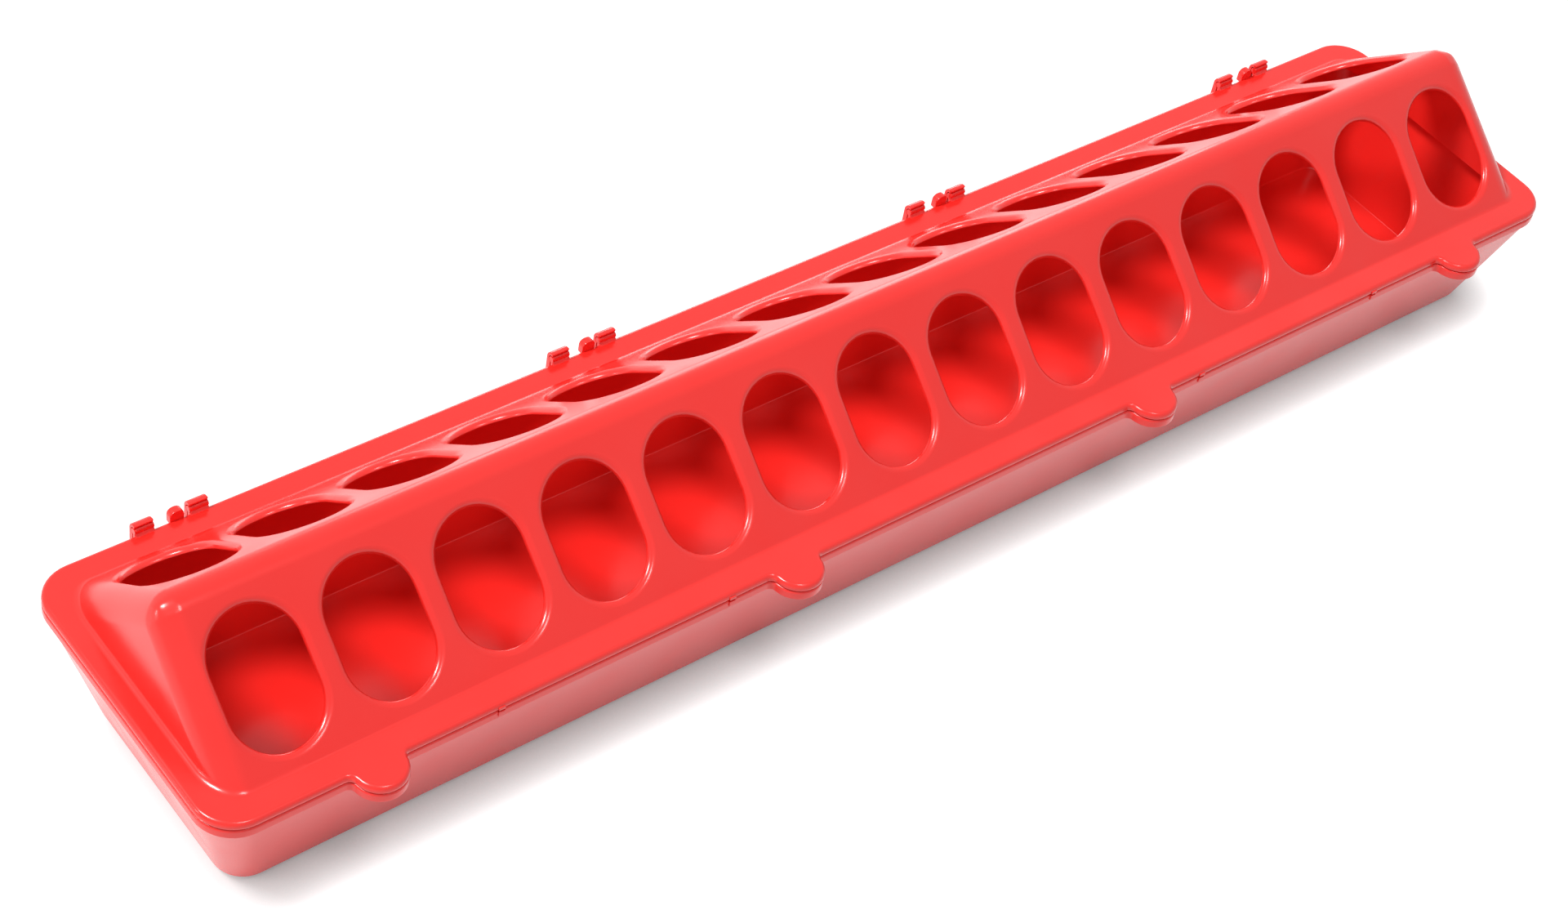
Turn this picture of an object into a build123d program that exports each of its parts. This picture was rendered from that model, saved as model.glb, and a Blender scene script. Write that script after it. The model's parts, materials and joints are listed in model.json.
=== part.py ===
from build123d import *
import os
from math import acos, cos, degrees, radians, sin, tan

os.makedirs("parts", exist_ok=True)

# A flip-top ground feeder for poultry, moulded as two pieces: a long trough
# and a roof-shaped lid with two rows of feeding holes. The lid snaps onto
# hooks along the trough's back rim and hinges there.
# X runs along the feeder, -Y is the front, Z is up.
# The origin is the middle of the trough's flat underside. All sizes are mm.

# Rim outline, shared by the trough and the lid
rim_length = 508.0
rim_width = 100.0
rim_corner_radius = 12.0

# Finger tabs along the front rim
tab_count = 4
tab_radius = 7.9
tab_setout = 0.8
tab_root_radius = 2.0

# Trough
trough_height = 42.0
trough_wall = 2.0
trough_band_height = 3.0
trough_band_overhang = 0.8
trough_band_bevel = 0.7
trough_base_inset = 12.4
trough_base_corner_radius = 9.0
trough_base_edge_radius = 4.0

# Lid flange, which lies on the trough's rim
seat_gap = 0.3
flange_thickness = 2.4
flange_side_width = 8.3
flange_end_width = 7.0
flange_edge_bevel = 0.8
flange_root_radius = 5.0

# Lid roof
lid_wall = 2.0
roof_slope = 40.8
gable_draft = 3.0
roof_fold_radius = 6.5

# Feeding holes, racetracks that fill the two slopes of the roof
hole_pitch = 34.4
hole_width = 27.8
hole_end_margin = 8.0
hole_foot_margin = 4.9
hole_ridge_margin = 9.6
hole_lip_bevel = 0.8

# Snap hinges: a round bead standing on the flange's back edge, held by a hook.
# A pair of them faces each finger tab, a little to its left.
hook_shift = -3.8
hook_spacing = 16.8
hook_width = 6.0
hook_wall = 1.1
hook_wrap = 108.0
hook_gap = 0.4
hook_gusset_drop = 6.0
bead_radius = 1.0
bead_rise = 1.5
bead_clearance = 0.2
bead_web_lean = 45.0

# Lug behind the flange between each pair of hooks
lug_shift = -2.1
lug_width = 4.4
lug_height = 3.3
lug_reach = 1.6
lug_corner_radius = 1.9

# Worked out from the sizes above
half_length = rim_length / 2
half_width = rim_width / 2
band_foot = trough_height - trough_band_height
flange_foot = trough_height + seat_gap
flange_top = flange_foot + flange_thickness
slope_length = (half_width - flange_side_width) / cos(radians(roof_slope))
hole_length = slope_length - hole_foot_margin - hole_ridge_margin
hole_row_height = (hole_foot_margin + hole_length / 2) * sin(radians(roof_slope))
hole_row_length = rim_length - 2 * flange_end_width - 2 * hole_end_margin
hole_count = int((hole_row_length - hole_width) / hole_pitch) + 1
tab_spacing = (hole_count - 2) * hole_pitch / (tab_count - 1)
axis_y = half_width
axis_z = flange_top + bead_rise
hook_inner_radius = bead_radius + bead_clearance
hook_outer_radius = hook_inner_radius + hook_wall
tab_x = [(i - (tab_count - 1) / 2) * tab_spacing for i in range(tab_count)]
hook_x = [x + hook_shift + side * hook_spacing / 2 for x in tab_x for side in (-1, 1)]


def wall_inset(z):
    # How far the trough's outer wall stands in from the rim outline at height z
    return trough_base_inset - (trough_base_inset - trough_band_overhang) * z / band_foot


def rim_outline():
    # Rounded rectangle with the half-round finger tabs along its front side
    with BuildSketch() as outline:
        RectangleRounded(rim_length, rim_width, rim_corner_radius)
        with Locations(*[(x, -half_width - tab_setout) for x in tab_x]):
            Circle(tab_radius)
        roots = [
            vertex
            for vertex in outline.vertices()
            if abs(vertex.Y + half_width) < 0.01
            and abs(vertex.X) < half_length - rim_corner_radius - 1
        ]
        fillet(roots, tab_root_radius)
    return outline.sketch


def trough_section(z, extra_inset, corner_radius):
    # Level section of the trough wall
    inset = 2 * (wall_inset(z) + extra_inset)
    with BuildSketch(Plane.XY.offset(z)) as section:
        RectangleRounded(rim_length - inset, rim_width - inset, corner_radius)
    return section.sketch


def roof_form(inset, foot, edge_radius):
    # The solid under the roof's slopes and gables, all moved in by inset
    slope = radians(roof_slope)
    draft = radians(gable_draft)
    half_y = half_width - flange_side_width - inset / sin(slope) + (flange_top - foot) / tan(slope)
    half_x = half_length - flange_end_width - inset / cos(draft) + (flange_top - foot) * tan(draft)
    rise = half_y * tan(slope)
    with BuildPart() as form:
        with BuildSketch(Plane.YZ):
            with BuildLine():
                Polyline((-half_y, foot), (half_y, foot), (0, foot + rise), close=True)
            make_face()
        extrude(amount=rim_length, both=True)
        with BuildSketch(Plane.XZ):
            top_x = half_x - rise * tan(draft)
            top = foot + rise
            with BuildLine():
                Polyline((-half_x, foot), (half_x, foot), (top_x, top), (-top_x, top), close=True)
            make_face()
        extrude(amount=rim_width, both=True, mode=Mode.INTERSECT)
        folds = [edge for edge in form.edges() if edge.center().Z > foot + rise / 10]
        fillet(folds, edge_radius)
    return form.part


# Trough: drafted walls, a flat floor and a rim band with the hooks behind it
base_section = trough_section(0, 0, trough_base_corner_radius)
neck_section = trough_section(band_foot, 0, rim_corner_radius - trough_band_overhang)
well_floor = trough_section(trough_wall, trough_wall, trough_base_corner_radius - trough_wall)
well_mouth_inset = 2 * (trough_band_overhang + trough_wall)

with BuildPart() as well:
    add(well_floor)
    with BuildSketch(Plane.XY.offset(trough_height)):
        RectangleRounded(
            rim_length - well_mouth_inset,
            rim_width - well_mouth_inset,
            rim_corner_radius - well_mouth_inset / 2,
        )
    loft()
    fillet(
        well.edges().group_by(Axis.Z)[0],
        trough_base_edge_radius - trough_wall,
    )

with BuildPart() as trough:
    add(base_section)
    add(neck_section)
    loft()
    fillet(trough.edges().group_by(Axis.Z)[0], trough_base_edge_radius)
    with BuildSketch(Plane.XY.offset(band_foot)):
        add(rim_outline())
    extrude(amount=trough_band_height)
    chamfer(trough.edges().group_by(Axis.Z)[-1], trough_band_bevel)
    add(well.part, mode=Mode.SUBTRACT)

    # Hooks: each rises from a gusset on the wall and curls forward over a bead
    gusset_foot = band_foot - hook_gusset_drop
    gusset_y = half_width - wall_inset(gusset_foot) - trough_wall / 2
    band_y = half_width - trough_band_overhang - trough_wall / 2
    wrap_end = radians(hook_wrap)
    mouth_end = acos(hook_gap / hook_inner_radius)
    for x in hook_x:
        with BuildSketch(Plane.YZ.offset(x - hook_width / 2)):
            with BuildLine():
                lip_outside = (
                    axis_y + hook_outer_radius * cos(wrap_end),
                    axis_z + hook_outer_radius * sin(wrap_end),
                )
                lip_inside = (
                    axis_y + hook_inner_radius * cos(wrap_end),
                    axis_z + hook_inner_radius * sin(wrap_end),
                )
                back_foot = (axis_y + hook_outer_radius, band_foot)
                back_top = (axis_y + hook_outer_radius, axis_z)
                stem_front = axis_y + hook_gap
                Line(back_foot, back_top)
                CenterArc((axis_y, axis_z), hook_outer_radius, 0, hook_wrap)
                Line(lip_outside, lip_inside)
                CenterArc(
                    (axis_y, axis_z),
                    hook_inner_radius,
                    hook_wrap,
                    -hook_wrap - degrees(mouth_end),
                )
                Polyline(
                    (stem_front, axis_z - hook_inner_radius * sin(mouth_end)),
                    (stem_front, trough_height - trough_band_height / 2),
                    (band_y, trough_height - trough_band_height / 2),
                    (band_y, band_foot),
                    (gusset_y, gusset_foot),
                    back_foot,
                )
            make_face()
        extrude(amount=hook_width)

# Lid: a flange and a hollow roof with two rows of feeding holes
roof_outside = roof_form(0, flange_top, roof_fold_radius)
roof_inside = roof_form(lid_wall, flange_foot, roof_fold_radius - lid_wall)

with BuildPart() as lid:
    with BuildSketch(Plane.XY.offset(flange_foot)):
        add(rim_outline())
    extrude(amount=flange_thickness)
    chamfer(
        lid.edges().group_by(Axis.Z)[0] + lid.edges().group_by(Axis.Z)[-1],
        flange_edge_bevel,
    )
    add(roof_outside)
    roof_root = [
        edge
        for edge in lid.edges()
        if abs(edge.center().Z - flange_top) < 0.01
        and abs(edge.center().X) < half_length - flange_end_width + 1
        and abs(edge.center().Y) < half_width - flange_side_width + 1
    ]
    fillet(roof_root, flange_root_radius)
    add(roof_inside, mode=Mode.SUBTRACT)

    # Feeding holes, cut square to the slopes, with a bevelled lip outside
    for side in (-1, 1):
        row_y = half_width - flange_side_width - hole_row_height / tan(radians(roof_slope))
        outward = (0, side * sin(radians(roof_slope)), cos(radians(roof_slope)))
        slope_plane = Plane(
            origin=(0, side * row_y, flange_top + hole_row_height),
            x_dir=(1, 0, 0),
            z_dir=outward,
        )
        with BuildSketch(slope_plane):
            with GridLocations(hole_pitch, 0, hole_count, 1):
                SlotOverall(hole_length, hole_width, rotation=90)
        extrude(amount=2 * lid_wall, both=True, mode=Mode.SUBTRACT)
        slope_face = [
            face
            for face in lid.faces().filter_by(GeomType.PLANE)
            if abs(slope_plane.to_local_coords(face.center()).Z) < 0.01
            and len(face.inner_wires()) == hole_count
        ]
        lips = [edge for face in slope_face for wire in face.inner_wires() for edge in wire.edges()]
        chamfer(lips, hole_lip_bevel)

    # Hinge beads, each on a web that leans forward out of the hook's way
    web_foot = flange_top - flange_thickness / 2
    web_front = axis_y - (axis_z - flange_top) * tan(radians(bead_web_lean))
    for x in hook_x:
        with BuildSketch(Plane.YZ.offset(x - hook_width / 2)):
            with Locations((axis_y, axis_z)):
                Circle(bead_radius)
            with BuildLine():
                Polyline(
                    (axis_y, axis_z),
                    (web_front, flange_top),
                    (web_front, web_foot),
                    (axis_y, web_foot),
                    close=True,
                )
            make_face()
        extrude(amount=hook_width)

    # Lugs, from the bevel of the flange's back edge out behind it
    for x in tab_x:
        lug_left = x + lug_shift - lug_width / 2
        lug_right = x + lug_shift + lug_width / 2
        with BuildSketch(Plane.XZ.offset(-half_width - lug_reach)):
            with BuildLine():
                Polyline(
                    (lug_left, flange_top + lug_height),
                    (lug_left, web_foot),
                    (lug_right, web_foot),
                    (lug_right, flange_top + lug_height),
                    close=True,
                )
            lug_face = make_face()
            fillet(lug_face.vertices().group_by(Axis.Z)[-1], lug_corner_radius)
        extrude(amount=lug_reach + flange_edge_bevel)

trough.part.label = "trough"
lid.part.label = "lid"
export_step(trough.part, "parts/trough.step")
export_step(lid.part, "parts/lid.step")
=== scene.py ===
import json
from math import acos, asin, atan2, cos, degrees, radians, sin, tan

import bpy
from mathutils import Matrix, Vector


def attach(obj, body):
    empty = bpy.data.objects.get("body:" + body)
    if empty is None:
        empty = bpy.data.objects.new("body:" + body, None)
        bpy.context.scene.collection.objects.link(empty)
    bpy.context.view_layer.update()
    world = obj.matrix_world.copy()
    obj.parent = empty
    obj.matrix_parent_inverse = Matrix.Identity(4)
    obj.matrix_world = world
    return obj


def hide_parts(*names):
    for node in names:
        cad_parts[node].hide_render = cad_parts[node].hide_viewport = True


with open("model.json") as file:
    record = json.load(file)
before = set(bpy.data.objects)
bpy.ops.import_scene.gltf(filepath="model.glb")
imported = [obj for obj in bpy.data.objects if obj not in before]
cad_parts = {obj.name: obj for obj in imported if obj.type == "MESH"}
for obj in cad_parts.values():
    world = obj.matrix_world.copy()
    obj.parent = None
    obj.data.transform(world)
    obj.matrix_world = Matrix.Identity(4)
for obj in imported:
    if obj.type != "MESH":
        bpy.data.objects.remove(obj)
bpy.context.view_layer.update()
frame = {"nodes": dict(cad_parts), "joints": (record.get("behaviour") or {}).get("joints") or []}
print("frame loaded:", ", ".join(frame["nodes"]))

# outline that the lid's flange and the trough's rim band share, in metres as all sizes here
rim = {
    "length": 0.508, "width": 0.100, "cornerRadius": 0.012, "cornerSteps": 10,
    "tabCount": 4, "tabSpacing": 0.1376, "tabRadius": 0.0079, "tabSetout": 0.0008, "tabSteps": 18,
    "tabRoot": 0.002, "tabRootSteps": 5, "footSteps": 2, "topSteps": 4,
}
halfLength, halfWidth = rim["length"] / 2, rim["width"] / 2
tabX = [(i - (rim["tabCount"] - 1) / 2) * rim["tabSpacing"] for i in range(rim["tabCount"])]

troughSize = {
    "height": 0.042, "wall": 0.002, "bandHeight": 0.003, "overhang": 0.0008,
    "baseInset": 0.0124, "baseCorner": 0.009, "baseEdge": 0.003, "baseSteps": 6,
    "floorEdge": 0.0004, "floorSteps": 5, "bandTopRound": 0.0007, "bandFootRound": 0.0003,
    "mouthRound": 0.0003, "mouthSteps": 3, "mouthMargin": 0.0002, "wellAbove": 0.001,
}
bandFoot = troughSize["height"] - troughSize["bandHeight"]

lidSize = {
    "foot": 0.0423, "flange": 0.0024, "sideFlange": 0.0083, "endFlange": 0.007, "wall": 0.002,
    "slope": 40.8, "gableDraft": 3.0, "ridgeFold": 0.006, "hipFold": 0.008, "foldSteps": 10,
    "gableRoot": 0.0018, "slopeRoot": 0.0006, "rootSteps": 6, "topRound": 0.0014, "footRound": 0.0005,
    "rootMargin": 0.0005, "sunk": 0.0005,
    "flangeAside": 0.0005, "outsideAside": 0.0010, "insideAside": -0.0008,
}
flangeTop = lidSize["foot"] + lidSize["flange"]

holes = {
    "count": 14, "pitch": 0.0344, "width": 0.0270, "footMargin": 0.0050, "ridgeMargin": 0.0104,
    "endSteps": 24, "plugReach": 0.006, "lipWidth": 0.0022, "lipSteps": 7, "innerBevel": 0.0003,
}
holeX = [(i - (holes["count"] - 1) / 2) * holes["pitch"] for i in range(holes["count"])]

# snap hinge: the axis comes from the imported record
hinge = {
    "y": frame["joints"][0]["pos_m"][1], "z": frame["joints"][0]["pos_m"][2],
    "shift": -0.0038, "spacing": 0.0168, "width": 0.006, "edgeRound": 0.0003,
    "beadRadius": 0.001, "webLean": 45, "hookInner": 0.0012, "hookOuter": 0.0023, "hookWrap": 108,
    "hookGap": 0.0004, "gussetDrop": 0.006, "arcSteps": 14, "beadSteps": 18,
}
firstHookX = tabX[0] + hinge["shift"] - hinge["spacing"] / 2
lug = {
    "shift": -0.0021, "width": 0.0044, "height": 0.0033, "reach": 0.0016, "corner": 0.0019,
    "cornerSteps": 6, "edgeRound": 0.0003, "rooted": 0.0008,
}


# working in edit mode
def deselectAll():
    if bpy.context.object and bpy.context.object.mode != "OBJECT":
        bpy.ops.object.mode_set(mode="OBJECT")
    bpy.ops.object.select_all(action="DESELECT")


def pickOnly(piece):
    deselectAll()
    piece.select_set(True)
    bpy.context.view_layer.objects.active = piece


def editAll(piece):
    pickOnly(piece)
    bpy.ops.object.mode_set(mode="EDIT")
    bpy.ops.mesh.select_all(action="SELECT")


def leaveEdit():
    bpy.ops.object.mode_set(mode="OBJECT")


def selectParts(piece, mode, test):
    # selects edges or faces whose corner points pass the test, and stays in edit mode
    editAll(piece)
    bpy.ops.mesh.select_mode(type=mode)
    bpy.ops.mesh.select_all(action="DESELECT")
    leaveEdit()
    data = piece.data
    for part in data.edges if mode == "EDGE" else data.polygons:
        part.select = test([data.vertices[i].co for i in part.vertices])
    bpy.ops.object.mode_set(mode="EDIT")


def allAt(ends, z):
    return all(abs(co.z - z) < 1e-6 for co in ends)


def bevelEdges(piece, test, offset, segments):
    selectParts(piece, "EDGE", test)
    bpy.ops.mesh.bevel(offset=offset, segments=segments, profile=0.5, affect="EDGES", clamp_overlap=False)
    leaveEdit()


def bevelWeighted(piece, widthOf, widest, segments):
    # bevels every edge to which widthOf gives a width, each by its own
    weights = piece.data.attributes.new("bevel_weight_edge", "FLOAT", "EDGE")
    for edge in piece.data.edges:
        weights.data[edge.index].value = widthOf([piece.data.vertices[i].co for i in edge.vertices]) / widest
    applyModifier(piece, "BEVEL", width=widest, segments=segments, limit_method="WEIGHT",
                  use_clamp_overlap=False)
    piece.data.attributes.remove(piece.data.attributes["bevel_weight_edge"])


def bevelSharp(piece, offset):
    # small rounding of every edge that turns by more than 40 degrees
    editAll(piece)
    bpy.ops.mesh.select_mode(type="EDGE")
    bpy.ops.mesh.select_all(action="DESELECT")
    bpy.ops.mesh.edges_select_sharp(sharpness=radians(40))
    bpy.ops.mesh.bevel(offset=offset, segments=2, profile=0.5, affect="EDGES", clamp_overlap=False)
    leaveEdit()


def faceOutwards(piece):
    editAll(piece)
    bpy.ops.mesh.normals_make_consistent(inside=False)
    leaveEdit()


def repeatAlong(piece, count, step):
    # count copies of the whole mesh, the first included, a step apart along X
    editAll(piece)
    for _ in range(count - 1):
        bpy.ops.mesh.duplicate_move(TRANSFORM_OT_translate={"value": (step, 0, 0)})
    leaveEdit()


def cutAcross(piece, places, aside):
    # flat cuts that leave no face with a hole inside it, so that booleans and bevels run clean;
    # each piece is cut a little aside of the places, so that no two cuts fall together
    for x in places:
        editAll(piece)
        bpy.ops.mesh.bisect(plane_co=(x + aside, 0, 0), plane_no=(1, 0, 0))
        leaveEdit()


def applyModifier(piece, kind, **settings):
    pickOnly(piece)
    modifier = piece.modifiers.new(kind.title(), kind)
    for name, value in settings.items():
        setattr(modifier, name, value)
    bpy.ops.object.modifier_apply(modifier=modifier.name)


def combine(piece, tool, operation):
    # exact boolean, after which the tool is gone
    applyModifier(piece, "BOOLEAN", operation=operation, solver="EXACT", object=tool)
    bpy.data.objects.remove(tool)


# drawing an outline point by point: extruded lines and spun arcs
def startOutline(name, place):
    deselectAll()
    bpy.ops.mesh.primitive_plane_add(size=0.001, location=place)
    piece = bpy.context.object
    piece.name = name
    bpy.ops.object.transform_apply(location=True, rotation=False, scale=False)
    editAll(piece)
    bpy.ops.mesh.select_mode(type="VERT")
    bpy.ops.mesh.merge(type="CENTER")
    return {"piece": piece, "start": Vector(place), "at": Vector(place)}


def lineTo(pen, place):
    bpy.ops.mesh.extrude_region_move(TRANSFORM_OT_translate={"value": Vector(place) - pen["at"]})
    pen["at"] = Vector(place)


def arcTo(pen, centre, turn, axis, steps):
    # a positive turn, in degrees, is counter-clockwise when the axis points at the viewer
    direction = {"X": (1, 0, 0), "Y": (0, 1, 0), "Z": (0, 0, 1)}[axis]
    bpy.ops.mesh.spin(steps=steps, angle=-radians(turn), center=centre, axis=direction)
    middle = Vector(centre)
    pen["at"] = Matrix.Rotation(radians(turn), 3, axis) @ (pen["at"] - middle) + middle


def fillOutline(pen):
    lineTo(pen, pen["start"])
    bpy.ops.mesh.select_all(action="SELECT")
    bpy.ops.mesh.remove_doubles(threshold=1e-6)
    bpy.ops.mesh.edge_face_add()


def closeOutline(pen, depth):
    # back to the start, filled and drawn out to a closed solid
    fillOutline(pen)
    bpy.ops.mesh.extrude_region_move(TRANSFORM_OT_translate={"value": depth})
    leaveEdit()
    faceOutwards(pen["piece"])
    return pen["piece"]


def rimPlate(name, foot, thickness):
    # plate on the rim outline, with a half-round finger tab at each place along its front
    corner, steps = rim["cornerRadius"], rim["cornerSteps"]
    tab, root, setout = rim["tabRadius"], rim["tabRoot"], rim["tabSetout"]
    x, y, up = halfLength - corner, halfWidth - corner, "Z"
    lean = degrees(asin((root - setout) / (tab + root)))
    reach = (tab + root) * cos(radians(lean))
    pen = startOutline(name, (halfLength, y, foot))
    arcTo(pen, (x, y, foot), 90, up, steps)
    lineTo(pen, (-x, halfWidth, foot))
    arcTo(pen, (-x, y, foot), 90, up, steps)
    lineTo(pen, (-halfLength, -y, foot))
    arcTo(pen, (-x, -y, foot), 90, up, steps)
    for middle in tabX:
        lineTo(pen, (middle - reach, -halfWidth, foot))
        arcTo(pen, (middle - reach, -halfWidth - root, foot), lean - 90, up, rim["tabRootSteps"])
        arcTo(pen, (middle, -halfWidth - setout, foot), 180 - 2 * lean, up, rim["tabSteps"])
        arcTo(pen, (middle + reach, -halfWidth - root, foot), lean - 90, up, rim["tabRootSteps"])
    lineTo(pen, (x, -halfWidth, foot))
    arcTo(pen, (x, -y, foot), 90, up, steps)
    return closeOutline(pen, (0, 0, thickness))


def roundRimEdges(piece, foot, footRound, top, topRound):
    bevelEdges(piece, lambda ends: allAt(ends, foot), footRound, rim["footSteps"])
    bevelEdges(piece, lambda ends: allAt(ends, top), topRound, rim["topSteps"])


def roundedPlate(length, width, corner, z):
    deselectAll()
    bpy.ops.mesh.primitive_plane_add(size=1, location=(0, 0, z))
    plate = bpy.context.object
    plate.scale = (length, width, 1)
    bpy.ops.object.transform_apply(location=True, rotation=False, scale=True)
    editAll(plate)
    bpy.ops.mesh.bevel(affect="VERTICES", offset=corner, segments=rim["cornerSteps"], profile=0.5)
    leaveEdit()
    return plate


def bridgePlates(name, low, high):
    # closed block between two level plates
    pickOnly(low)
    high.select_set(True)
    bpy.ops.object.join()
    low.name = name
    editAll(low)
    bpy.ops.mesh.select_mode(type="EDGE")
    bpy.ops.mesh.select_all(action="SELECT")
    bpy.ops.mesh.bridge_edge_loops()
    leaveEdit()
    faceOutwards(low)
    return low


# trough
def wallInset(z):
    # how far the outer wall stands in from the rim outline at height z
    baseInset, overhang = troughSize["baseInset"], troughSize["overhang"]
    return baseInset - (baseInset - overhang) * z / bandFoot


def troughBlock(name, footZ, footInset, footCorner, topZ, topInset, topCorner):
    low = roundedPlate(rim["length"] - 2 * footInset, rim["width"] - 2 * footInset, footCorner, footZ)
    high = roundedPlate(rim["length"] - 2 * topInset, rim["width"] - 2 * topInset, topCorner, topZ)
    return bridgePlates(name, low, high)


def hookProfile():
    # one hook: a gusset on the wall, a stem behind the rim and a curl forward over the bead
    y, z, x = hinge["y"], hinge["z"], firstHookX - hinge["width"] / 2
    inner, outer, wrap = hinge["hookInner"], hinge["hookOuter"], hinge["hookWrap"]
    mouth = degrees(acos(hinge["hookGap"] / inner))
    stemFront, bandMiddle = y + hinge["hookGap"], troughSize["height"] - troughSize["bandHeight"] / 2
    gussetFoot = bandFoot - hinge["gussetDrop"]
    wallMiddle = halfWidth - troughSize["wall"] / 2
    along = "X"
    pen = startOutline("hooks", (x, y + outer, bandFoot))
    lineTo(pen, (x, y + outer, z))
    arcTo(pen, (x, y, z), wrap, along, hinge["arcSteps"])
    lineTo(pen, (x, y + inner * cos(radians(wrap)), z + inner * sin(radians(wrap))))
    arcTo(pen, (x, y, z), -wrap - mouth, along, hinge["arcSteps"])
    lineTo(pen, (x, stemFront, bandMiddle))
    lineTo(pen, (x, wallMiddle - troughSize["overhang"], bandMiddle))
    lineTo(pen, (x, wallMiddle - troughSize["overhang"], bandFoot))
    lineTo(pen, (x, wallMiddle - wallInset(gussetFoot), gussetFoot))
    hook = closeOutline(pen, (hinge["width"], 0, 0))
    bevelSharp(hook, hinge["edgeRound"])
    return hook


def placeHinges(part):
    # a pair at each place, and the pair repeated at the tabs' spacing
    repeatAlong(part, 2, hinge["spacing"])
    repeatAlong(part, len(tabX), rim["tabSpacing"])
    return part


def buildTrough():
    wall, overhang, height = troughSize["wall"], troughSize["overhang"], troughSize["height"]
    neckTop, neckCorner = height - troughSize["bandHeight"] / 2, rim["cornerRadius"] - overhang
    trough = troughBlock("trough_moulding", 0, troughSize["baseInset"], troughSize["baseCorner"],
                         neckTop, wallInset(neckTop), neckCorner)
    bevelEdges(trough, lambda ends: allAt(ends, 0), troughSize["baseEdge"], troughSize["baseSteps"])
    band = rimPlate("band", bandFoot, troughSize["bandHeight"])
    roundRimEdges(band, bandFoot, troughSize["bandFootRound"], height, troughSize["bandTopRound"])
    cutAcross(band, [0], 0)
    combine(trough, band, "UNION")

    floorInset, mouthInset = wallInset(wall) + wall, overhang + wall
    mouthSlant = (floorInset - mouthInset) / (height - wall)
    above = troughSize["wellAbove"]  # how far the well's block stands out of the mouth
    well = troughBlock("well", wall, floorInset, troughSize["baseCorner"] - wall,
                       height + above, mouthInset - mouthSlant * above, rim["cornerRadius"] - mouthInset)
    bevelEdges(well, lambda ends: allAt(ends, wall), troughSize["floorEdge"], troughSize["floorSteps"])
    combine(trough, well, "DIFFERENCE")
    margin = troughSize["mouthMargin"]
    mouthX, mouthY = halfLength - mouthInset + margin, halfWidth - mouthInset + margin

    def mouthEdge(ends):
        return allAt(ends, height) and all(abs(co.x) < mouthX and abs(co.y) < mouthY for co in ends)

    bevelEdges(trough, mouthEdge, troughSize["mouthRound"], troughSize["mouthSteps"])
    combine(trough, placeHinges(hookProfile()), "UNION")
    print("trough moulding:", len(trough.data.polygons), "faces")
    return trough


# lid
def roofBlock(name, inset, foot, aside):
    # block under the roof's slopes and gables, all moved in by inset, with rounded ridge and hips
    slope, draft = radians(lidSize["slope"]), radians(lidSize["gableDraft"])
    drop = flangeTop - foot
    halfY = halfWidth - lidSize["sideFlange"] - inset / sin(slope) + drop / tan(slope)
    halfX = halfLength - lidSize["endFlange"] - inset / cos(draft) + drop * tan(draft)
    rise = halfY * tan(slope)
    deselectAll()
    bpy.ops.mesh.primitive_cube_add(size=2, location=(0, 0, foot + rise / 2), scale=(halfX, halfY, rise / 2))
    block = bpy.context.object
    block.name = name
    bpy.ops.object.transform_apply(location=True, rotation=False, scale=True)
    selectParts(block, "FACE", lambda corners: all(co.z > foot + rise / 2 for co in corners))
    ridgeShare = (halfX - rise * tan(draft)) / halfX
    bpy.ops.transform.resize(value=(ridgeShare, 0, 1), center_override=(0, 0, foot + rise))
    bpy.ops.mesh.remove_doubles(threshold=1e-5)
    leaveEdit()
    ridge, hip = lidSize["ridgeFold"] - inset, lidSize["hipFold"] - inset

    def foldWidth(ends):
        high = sum(co.z > foot + rise / 2 for co in ends)
        return (0, hip, ridge)[high]

    bevelWeighted(block, foldWidth, hip, lidSize["foldSteps"])
    cutAcross(block, holeX, aside)
    faceOutwards(block)
    return block


roofSlope = radians(lidSize["slope"])
slopeLength = (halfWidth - lidSize["sideFlange"]) / cos(roofSlope)
holeLength = slopeLength - holes["footMargin"] - holes["ridgeMargin"]
rowRun = (holes["footMargin"] + holeLength / 2) * cos(roofSlope)
rowY, rowZ = halfWidth - lidSize["sideFlange"] - rowRun, flangeTop + rowRun * tan(roofSlope)


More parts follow.
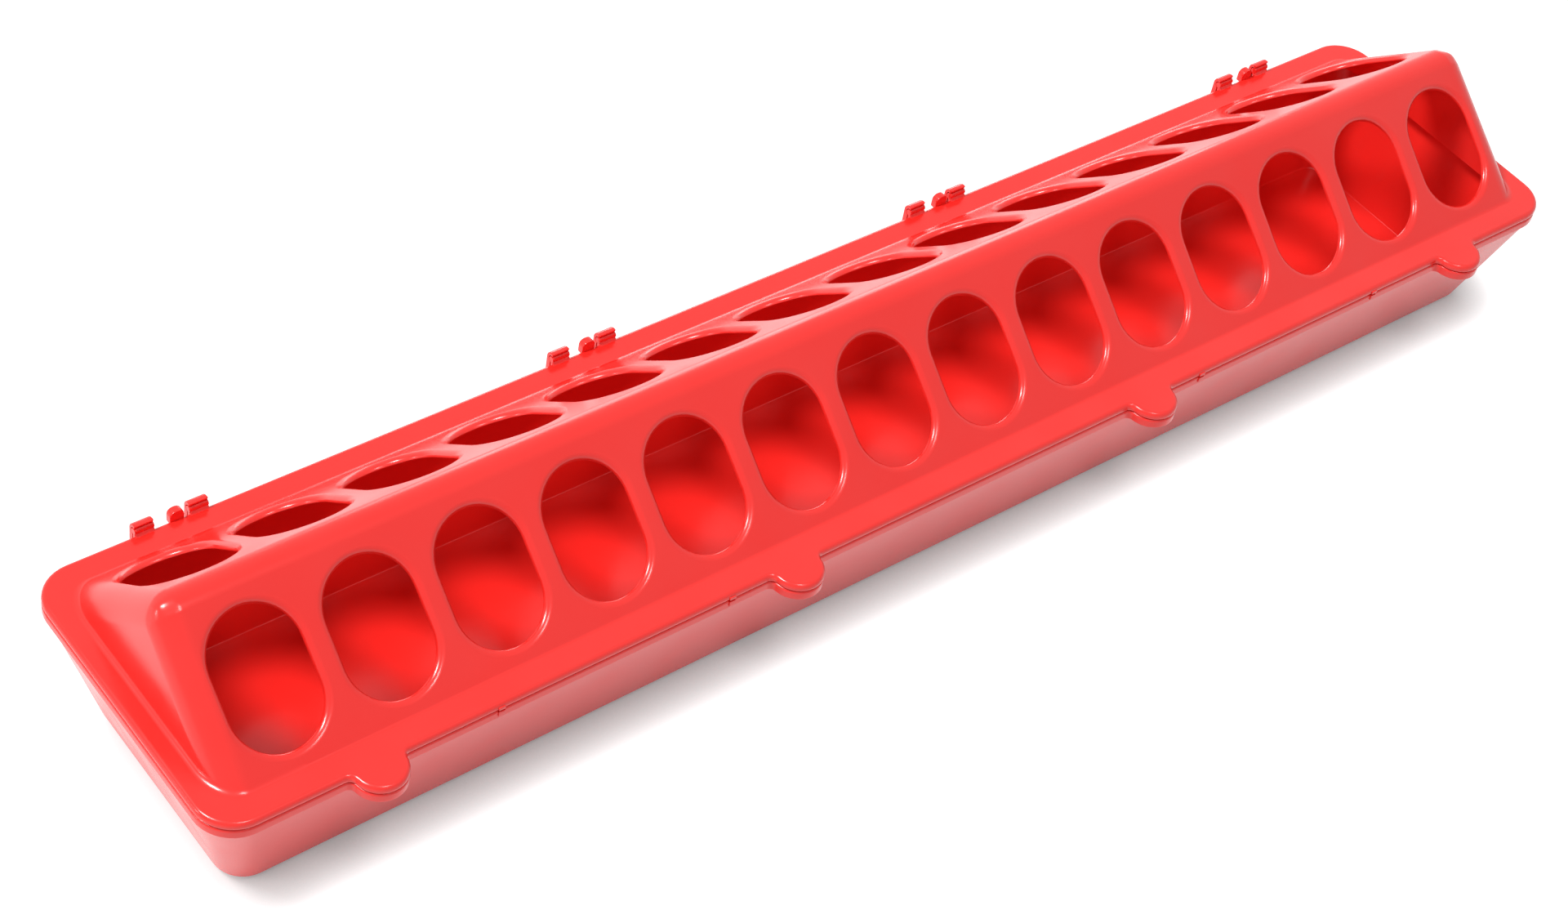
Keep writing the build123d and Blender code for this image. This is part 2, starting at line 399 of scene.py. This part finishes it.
def holePlugs(side):
    # one racetrack plug drawn flat, flared where it leaves the wall so that it cuts a rolled
    # lip, repeated along X and laid square to a slope
    radius, reach, wall = holes["width"] / 2, holes["plugReach"], lidSize["wall"]
    straight = holeLength / 2 - radius
    inner = holes["innerBevel"]
    x, wide = holeX[0], radius + inner
    pen = startOutline("plugs", (x + wide, -straight, -reach))
    lineTo(pen, (x + wide, straight, -reach))
    arcTo(pen, (x, straight, -reach), 180, "Z", holes["endSteps"])
    lineTo(pen, (x - wide, -straight, -reach))
    arcTo(pen, (x, -straight, -reach), 180, "Z", holes["endSteps"])
    fillOutline(pen)
    lipDepth, hair = wall - inner, 0.00001  # a hair past the wall's two faces, so that they cut clean
    rings = [(-wall - hair, inner), (-lipDepth, 0)]
    for step in range(1, holes["lipSteps"] + 1):
        turn = radians(90 * step / holes["lipSteps"])
        rings.append((lipDepth * (sin(turn) - 1) + hair, holes["lipWidth"] * (1 - cos(turn))))
    rings.append((reach, holes["lipWidth"]))
    lastZ, lastOut = -reach, inner
    for z, out in rings:
        bpy.ops.mesh.extrude_region_move(TRANSFORM_OT_translate={"value": (0, 0, z - lastZ)})
        grow = ((radius + out) / (radius + lastOut), (holeLength / 2 + out) / (holeLength / 2 + lastOut), 1)
        bpy.ops.transform.resize(value=grow, center_override=(x, 0, z))
        lastZ, lastOut = z, out
    plugs = pen["piece"]
    leaveEdit()
    faceOutwards(plugs)
    repeatAlong(plugs, holes["count"], holes["pitch"])
    plugs.rotation_euler = (-side * roofSlope, 0, 0)
    plugs.location = (0, side * rowY, rowZ)
    pickOnly(plugs)
    bpy.ops.object.transform_apply(location=True, rotation=True, scale=False)
    return plugs


def hingeBead():
    # round bead on the hinge axis, on a web that leans forward from the flange's back edge
    y, z, x, radius = hinge["y"], hinge["z"], firstHookX - hinge["width"] / 2, hinge["beadRadius"]
    webFoot, lean = flangeTop - lidSize["flange"] / 2, radians(hinge["webLean"])
    webFront = y - (z - flangeTop) * tan(lean)
    hair = 0.00002  # keeps the web's back off the flange's edge
    pen = startOutline("beads", (x, y - hair, webFoot))
    lineTo(pen, (x, y, z - radius))
    arcTo(pen, (x, y, z), 270 + hinge["webLean"], "X", hinge["beadSteps"])
    lineTo(pen, (x, webFront, flangeTop))
    lineTo(pen, (x, webFront, webFoot))
    return closeOutline(pen, (hinge["width"], 0, 0))


def hingeLugs():
    # round-topped lug behind the flange, between the two hooks of each pair
    x, y = tabX[0] + lug["shift"], halfWidth + lug["reach"]
    half, corner = lug["width"] / 2, lug["corner"]
    webFoot, top = flangeTop - lidSize["flange"] / 2, flangeTop + lug["height"]
    pen = startOutline("lugs", (x + half, y, webFoot))
    lineTo(pen, (x + half, y, top - corner))
    arcTo(pen, (x + half - corner, y, top - corner), -90, "Y", lug["cornerSteps"])
    lineTo(pen, (x - half + corner, y, top))
    arcTo(pen, (x - half + corner, y, top - corner), -90, "Y", lug["cornerSteps"])
    lineTo(pen, (x - half, y, webFoot))
    lugs = closeOutline(pen, (0, -lug["reach"] - lug["rooted"], 0))
    bevelSharp(lugs, lug["edgeRound"])
    repeatAlong(lugs, len(tabX), rim["tabSpacing"])
    return lugs


def roundRoot(lid):
    # rounds the foot of the roof, wider under the steep gables than under the slopes; the rim's
    # edges, which are level with it, lie beyond the margin
    margin, gable, side = lidSize["rootMargin"], lidSize["gableRoot"], lidSize["slopeRoot"]
    inX = halfLength - lidSize["endFlange"] + margin
    inY = halfWidth - lidSize["sideFlange"] + margin

    def rootWidth(ends):
        if any(abs(co.z - flangeTop) > 1e-5 or abs(co.x) > inX or abs(co.y) > inY for co in ends):
            return 0
        run = ends[1] - ends[0]
        return side + (gable - side) * sin(atan2(abs(run.y), abs(run.x)))

    bevelWeighted(lid, rootWidth, gable, lidSize["rootSteps"])


def buildLid():
    foot, top = lidSize["foot"], flangeTop
    sunk = lidSize["sunk"]  # how far the roof's blocks reach below the flange's two faces
    lid = rimPlate("lid_moulding", foot, lidSize["flange"])
    roundRimEdges(lid, foot, lidSize["footRound"], top, lidSize["topRound"])
    cutAcross(lid, holeX, lidSize["flangeAside"])
    combine(lid, roofBlock("roofOutside", 0, top - sunk, lidSize["outsideAside"]), "UNION")
    roundRoot(lid)
    inside = roofBlock("roofInside", lidSize["wall"], foot - sunk, lidSize["insideAside"])
    combine(lid, inside, "DIFFERENCE")
    for side in (-1, 1):
        combine(lid, holePlugs(side), "DIFFERENCE")
    combine(lid, placeHinges(hingeBead()), "UNION")
    combine(lid, hingeLugs(), "UNION")
    print("lid moulding:", len(lid.data.polygons), "faces")
    return lid


# pairs of tiny nubs in front of the rim, one on each moulding, where the lid snaps shut
nubs = {
    "places": (-0.168, -0.091, 0.091, 0.168), "width": 0.0022, "proud": 0.0004, "depth": 0.0008,
    "lidFoot": 0.0424, "lidTop": 0.0435, "bandFoot": 0.0400, "bandTop": 0.0418, "round": 0.0002,
}


def addNubs(piece, foot, top):
    for x in nubs["places"]:
        deselectAll()
        y = -halfWidth - nubs["proud"] + nubs["depth"] / 2
        bpy.ops.mesh.primitive_cube_add(size=1, location=(x, y, (foot + top) / 2),
                                        scale=(nubs["width"], nubs["depth"], top - foot))
        nub = bpy.context.object
        bpy.ops.object.transform_apply(location=True, rotation=False, scale=True)
        bevelSharp(nub, nubs["round"])
        combine(piece, nub, "UNION")


trough = buildTrough()
lid = buildLid()
addNubs(trough, nubs["bandFoot"], nubs["bandTop"])
addNubs(lid, nubs["lidFoot"], nubs["lidTop"])

for piece, body in ((trough, "trough"), (lid, "lid")):
    pickOnly(piece)
    bpy.ops.object.shade_smooth_by_angle(angle=radians(30))
    applyModifier(piece, "WEIGHTED_NORMAL", keep_sharp=True)
    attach(piece, body)
    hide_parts(body)
print("mouldings finished")

# glossy red plastic: a little uneven in tone and shine, with the faint ripple of a moulded face
plastic = {
    "deep": (0.81, 0.018, 0.014, 1), "bright": (0.89, 0.026, 0.020, 1), "toneScale": 18,
    "shineLow": 0.17, "shineHigh": 0.27, "shineScale": 60, "shineFrom": 0.3, "shineTo": 0.7,
    "rippleScale": 220, "ripple": 0.05, "rippleDepth": 0.0004,
}


def noise(nodes, links, place, scale, detail):
    texture = nodes.new("ShaderNodeTexNoise")
    texture.inputs["Scale"].default_value = scale
    texture.inputs["Detail"].default_value = detail
    links.new(place.outputs["Object"], texture.inputs["Vector"])
    return texture


def redPlastic(name):
    material = bpy.data.materials.new(name)
    material.use_nodes = True
    nodes, links = material.node_tree.nodes, material.node_tree.links
    shader = nodes["Principled BSDF"]
    place = nodes.new("ShaderNodeTexCoord")

    tone = noise(nodes, links, place, plastic["toneScale"], 2)
    colour = nodes.new("ShaderNodeMix")
    colour.data_type = "RGBA"
    colour.inputs["A"].default_value = plastic["deep"]
    colour.inputs["B"].default_value = plastic["bright"]
    links.new(tone.outputs["Fac"], colour.inputs["Factor"])
    links.new(colour.outputs["Result"], shader.inputs["Base Color"])

    shine = noise(nodes, links, place, plastic["shineScale"], 3)
    spread = nodes.new("ShaderNodeMapRange")
    spread.inputs["From Min"].default_value = plastic["shineFrom"]
    spread.inputs["From Max"].default_value = plastic["shineTo"]
    spread.inputs["To Min"].default_value = plastic["shineLow"]
    spread.inputs["To Max"].default_value = plastic["shineHigh"]
    links.new(shine.outputs["Fac"], spread.inputs["Value"])
    links.new(spread.outputs["Result"], shader.inputs["Roughness"])

    ripple = noise(nodes, links, place, plastic["rippleScale"], 1)
    bump = nodes.new("ShaderNodeBump")
    bump.inputs["Strength"].default_value = plastic["ripple"]
    bump.inputs["Distance"].default_value = plastic["rippleDepth"]
    links.new(ripple.outputs["Fac"], bump.inputs["Height"])
    links.new(bump.outputs["Normal"], shader.inputs["Normal"])
    return material


red = redPlastic("red_plastic")
for piece in (trough, lid):
    piece.data.materials.clear()
    piece.data.materials.append(red)

# white floor: what is seen of it is lifted to pure white by a glow, and that glow is dimmed into a painted
# shadow where the feeder stands over it, on the side away from the key lamp
floorLook = {
    "size": 8, "white": 0.85, "seenWhite": 0.25, "lift": 1,
    # reach and leaning of the painted shadow beside the feeder's foot
    "paintedShadowReach": 0.014, "paintedShadowFrom": (-0.45, 0.65, 0.62),
}


def seenByCameraOrGloss(nodes, links):
    path = nodes.new("ShaderNodeLightPath")
    either = nodes.new("ShaderNodeMath")
    either.operation = "MAXIMUM"
    links.new(path.outputs["Is Camera Ray"], either.inputs[0])
    links.new(path.outputs["Is Glossy Ray"], either.inputs[1])
    return either


def floorWhite(name):
    material = bpy.data.materials.new(name)
    material.use_nodes = True
    nodes, links = material.node_tree.nodes, material.node_tree.links
    shader = nodes["Principled BSDF"]
    seen = seenByCameraOrGloss(nodes, links)
    tone = nodes.new("ShaderNodeMapRange")
    tone.inputs["To Min"].default_value = floorLook["white"]
    tone.inputs["To Max"].default_value = floorLook["seenWhite"]
    links.new(seen.outputs[0], tone.inputs["Value"])
    links.new(tone.outputs["Result"], shader.inputs["Base Color"])
    shader.inputs["Roughness"].default_value = 1
    shader.inputs["Specular IOR Level"].default_value = 0

    # painted shadow: occlusion, taken along a normal leant away from the key lamp, dims the floor's white
    # glow next to the feeder
    paintedShadowMask = nodes.new("ShaderNodeAmbientOcclusion")
    paintedShadowMask.inputs["Distance"].default_value = floorLook["paintedShadowReach"]
    towards = nodes.new("ShaderNodeCombineXYZ")
    for letter, share in zip("XYZ", floorLook["paintedShadowFrom"]):
        towards.inputs[letter].default_value = share
    links.new(towards.outputs["Vector"], paintedShadowMask.inputs["Normal"])
    lift = nodes.new("ShaderNodeMath")
    lift.operation = "MULTIPLY"
    lift.inputs[1].default_value = floorLook["lift"]
    links.new(seen.outputs[0], lift.inputs[0])
    # the glow times the occlusion gives the painted shadow on the floor
    liftWithPaintedShadow = nodes.new("ShaderNodeMath")
    liftWithPaintedShadow.operation = "MULTIPLY"
    links.new(lift.outputs[0], liftWithPaintedShadow.inputs[0])
    links.new(paintedShadowMask.outputs["AO"], liftWithPaintedShadow.inputs[1])
    shader.inputs["Emission Color"].default_value = (1, 1, 1, 1)
    links.new(liftWithPaintedShadow.outputs[0], shader.inputs["Emission Strength"])
    return material


deselectAll()
bpy.ops.mesh.primitive_plane_add(size=floorLook["size"], location=(0, 0, 0))
floor = bpy.context.object
floor.name = "floor"
floor.data.materials.append(floorWhite("floor_white"))
print("floor laid")

# camera, at the photograph's viewing angle: its place in metres, its turn in degrees
view = {
    "place": (-0.4963, -0.4505, 0.6713), "turn": (44.315, -8.331, -37.507), "lens": 70.10, "sensor": 36,
}
cameraData = bpy.data.cameras.new("camera")
cameraData.lens = view["lens"]
cameraData.sensor_width = view["sensor"]
camera = bpy.data.objects.new("camera", cameraData)
camera.location = view["place"]
camera.rotation_euler = [radians(angle) for angle in view["turn"]]
bpy.context.collection.objects.link(camera)
bpy.context.scene.camera = camera

# light: a white world, dimmer as light than to the eye, and four soft lamps
light = {
    "world": 0.3,
    "keyFrom": (-0.496, 0.214, 0.841), "keyAway": 3, "keySize": 0.8, "keyPower": 72,
    "frontFrom": (-0.03, -0.33, 0.94), "frontAway": 3, "frontSize": 0.7, "frontPower": 21,
    "sideFrom": (-0.88, 0.30, 0.25), "sideAway": 1.5, "sideSize": 0.2, "sidePower": 2,
    "backFrom": (0.50, 0.84, 0.15), "backAway": 1.6, "backSize": 0.8, "backPower": 5,
}


def studioWorld(name):
    world = bpy.data.worlds.new(name)
    world.use_nodes = True
    nodes, links = world.node_tree.nodes, world.node_tree.links
    strength = nodes.new("ShaderNodeMapRange")
    strength.inputs["To Min"].default_value = light["world"]
    strength.inputs["To Max"].default_value = 1
    links.new(seenByCameraOrGloss(nodes, links).outputs[0], strength.inputs["Value"])
    nodes["Background"].inputs["Color"].default_value = (1, 1, 1, 1)
    links.new(strength.outputs["Result"], nodes["Background"].inputs["Strength"])
    return world


def areaLamp(name, away, distance, size, power):
    data = bpy.data.lights.new(name, "AREA")
    data.shape = "DISK"
    data.size = size
    data.energy = power
    softbox = bpy.data.objects.new(name, data)
    softbox.location = Vector(away).normalized() * distance
    softbox.rotation_euler = Vector(away).to_track_quat("Z", "Y").to_euler()
    bpy.context.collection.objects.link(softbox)


bpy.context.scene.world = studioWorld("studio")
for lamp in ("key", "front", "side", "back"):
    areaLamp(lamp, light[lamp + "From"], light[lamp + "Away"], light[lamp + "Size"], light[lamp + "Power"])
print("camera and lamps placed")

bpy.context.scene.view_settings.view_transform = "Standard"
